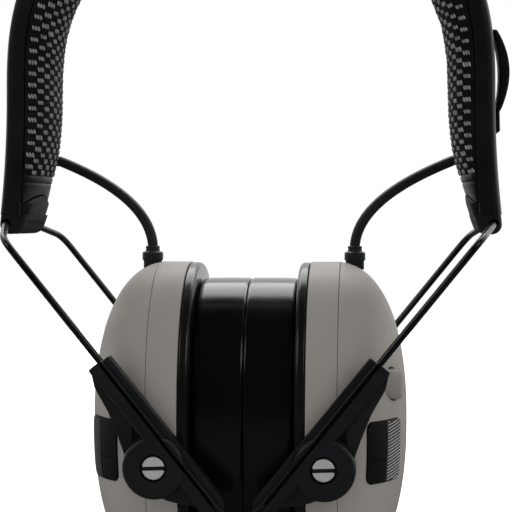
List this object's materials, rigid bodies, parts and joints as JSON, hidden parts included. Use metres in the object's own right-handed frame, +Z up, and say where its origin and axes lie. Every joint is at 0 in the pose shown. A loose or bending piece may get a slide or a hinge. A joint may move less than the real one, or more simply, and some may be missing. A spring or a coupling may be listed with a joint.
{
  "type": "earmuff hearing protector",
  "caption": "Electronic earmuff with a padded mesh-lined headband, hinged wire bails, sliding plastic arms, tilting grey cups, soft ear cushions, volume knob and battery door.",
  "frame": {"origin": "the middle of the headband pad's inner face at the crown, where the earmuff rests on the head", "axes": "+Z up, +X to the right as seen from the front, -Y towards the front"},
  "size_m": [0.1786, 0.1018, 0.246],
  "materials": {
    "black_plastic": "fine satin moulded texture",
    "gloss_black": "glossy moulded",
    "grey_shell": "warm grey, fine matte texture",
    "black_vinyl": "smooth soft vinyl",
    "cushion_vinyl": "soft leatherette with a low sheen",
    "air_mesh": "grey spots on a black spacer mesh",
    "spring_steel": "drawn wire",
    "bright_steel": "plated",
    "black_rubber": "matte extruded",
    "foam": "open-cell foam",
    "board_green": "coated board",
    "cell_jacket": "plain sleeve"
  },
  "bodies": {
    "headband": {"headband_cover": "black_vinyl", "headband_pad": "air_mesh", "spring_strip": "spring_steel", "band_lead": "black_rubber", "strap_loop": "black_vinyl", "left_end_block": "black_plastic", "right_end_block": "black_plastic", "left_block_rivet": "bright_steel", "right_block_rivet": "bright_steel", "left_lead": "black_rubber", "right_lead": "black_rubber"},
    "left_bail": {"left_wire_bail": "spring_steel", "left_front_wire_tip": "black_plastic", "left_rear_wire_tip": "black_plastic"},
    "left_arms": {"left_front_arm": "black_plastic", "left_rear_arm": "black_plastic"},
    "left_cup": {"left_base_shell": "grey_shell", "left_outer_shell": "grey_shell", "left_cushion_plate": "gloss_black", "left_ear_cushion": "cushion_vinyl", "left_foam_liner": "foam", "left_speaker": "black_plastic", "left_speaker_baffle": "black_plastic", "left_front_screw": "bright_steel", "left_rear_screw": "bright_steel", "left_mic_panel": "black_plastic", "left_mic_screen": "spring_steel", "left_lead_gland": "black_rubber", "battery_tray": "black_plastic", "battery_a": "cell_jacket", "battery_b": "cell_jacket"},
    "right_bail": {"right_wire_bail": "spring_steel", "right_front_wire_tip": "black_plastic", "right_rear_wire_tip": "black_plastic"},
    "right_arms": {"right_front_arm": "black_plastic", "right_rear_arm": "black_plastic"},
    "right_cup": {"right_base_shell": "grey_shell", "right_outer_shell": "grey_shell", "right_cushion_plate": "gloss_black", "right_ear_cushion": "cushion_vinyl", "right_foam_liner": "foam", "right_speaker": "black_plastic", "right_speaker_baffle": "black_plastic", "right_front_screw": "bright_steel", "right_rear_screw": "bright_steel", "right_mic_panel": "black_plastic", "right_mic_screen": "spring_steel", "right_lead_gland": "black_rubber", "volume_control": "black_plastic", "circuit_board": "board_green", "audio_jack": "black_plastic"},
    "volume_knob": {"volume_knob": "grey_shell"},
    "battery_door": {"battery_door": "grey_shell"}
  },
  "joints": [
    {"name": "left_bail_swing", "type": "hinge", "parent": "headband", "child": "left_bail", "pos_m": [-0.0845, 0, -0.105], "axis": [0, 1, 0], "range_deg": [0, 30], "deforming": ["left_lead"]},
    {"name": "left_height_slide", "type": "slide", "parent": "left_bail", "child": "left_arms", "axis": [-0.6283, 0, 0.778], "range_m": [0, 0.03], "deforming": ["left_lead"]},
    {"name": "left_cup_tilt", "type": "hinge", "parent": "left_arms", "child": "left_cup", "pos_m": [-0.0279, 0, -0.185], "axis": [0, 1, 0], "range_deg": [-10, 10], "deforming": ["left_lead", "left_ear_cushion"]},
    {"name": "right_bail_swing", "type": "hinge", "parent": "headband", "child": "right_bail", "pos_m": [0.0845, 0, -0.105], "axis": [0, -1, 0], "range_deg": [0, 30], "deforming": ["right_lead"]},
    {"name": "right_height_slide", "type": "slide", "parent": "right_bail", "child": "right_arms", "axis": [0.6283, 0, 0.778], "range_m": [0, 0.03], "deforming": ["right_lead"]},
    {"name": "right_cup_tilt", "type": "hinge", "parent": "right_arms", "child": "right_cup", "pos_m": [0.0279, 0, -0.185], "axis": [0, -1, 0], "range_deg": [-10, 10], "deforming": ["right_lead", "right_ear_cushion"]},
    {"name": "volume_turn", "type": "hinge", "parent": "right_cup", "child": "volume_knob", "pos_m": [0.046, -0.0265, -0.159], "axis": [1, 0, 0], "range_deg": [0, 270]},
    {"name": "battery_door_hinge", "type": "hinge", "parent": "left_cup", "child": "battery_door", "pos_m": [-0.0555, 0, -0.17315], "axis": [0, -1, 0], "range_deg": [0, 100]}
  ]
}
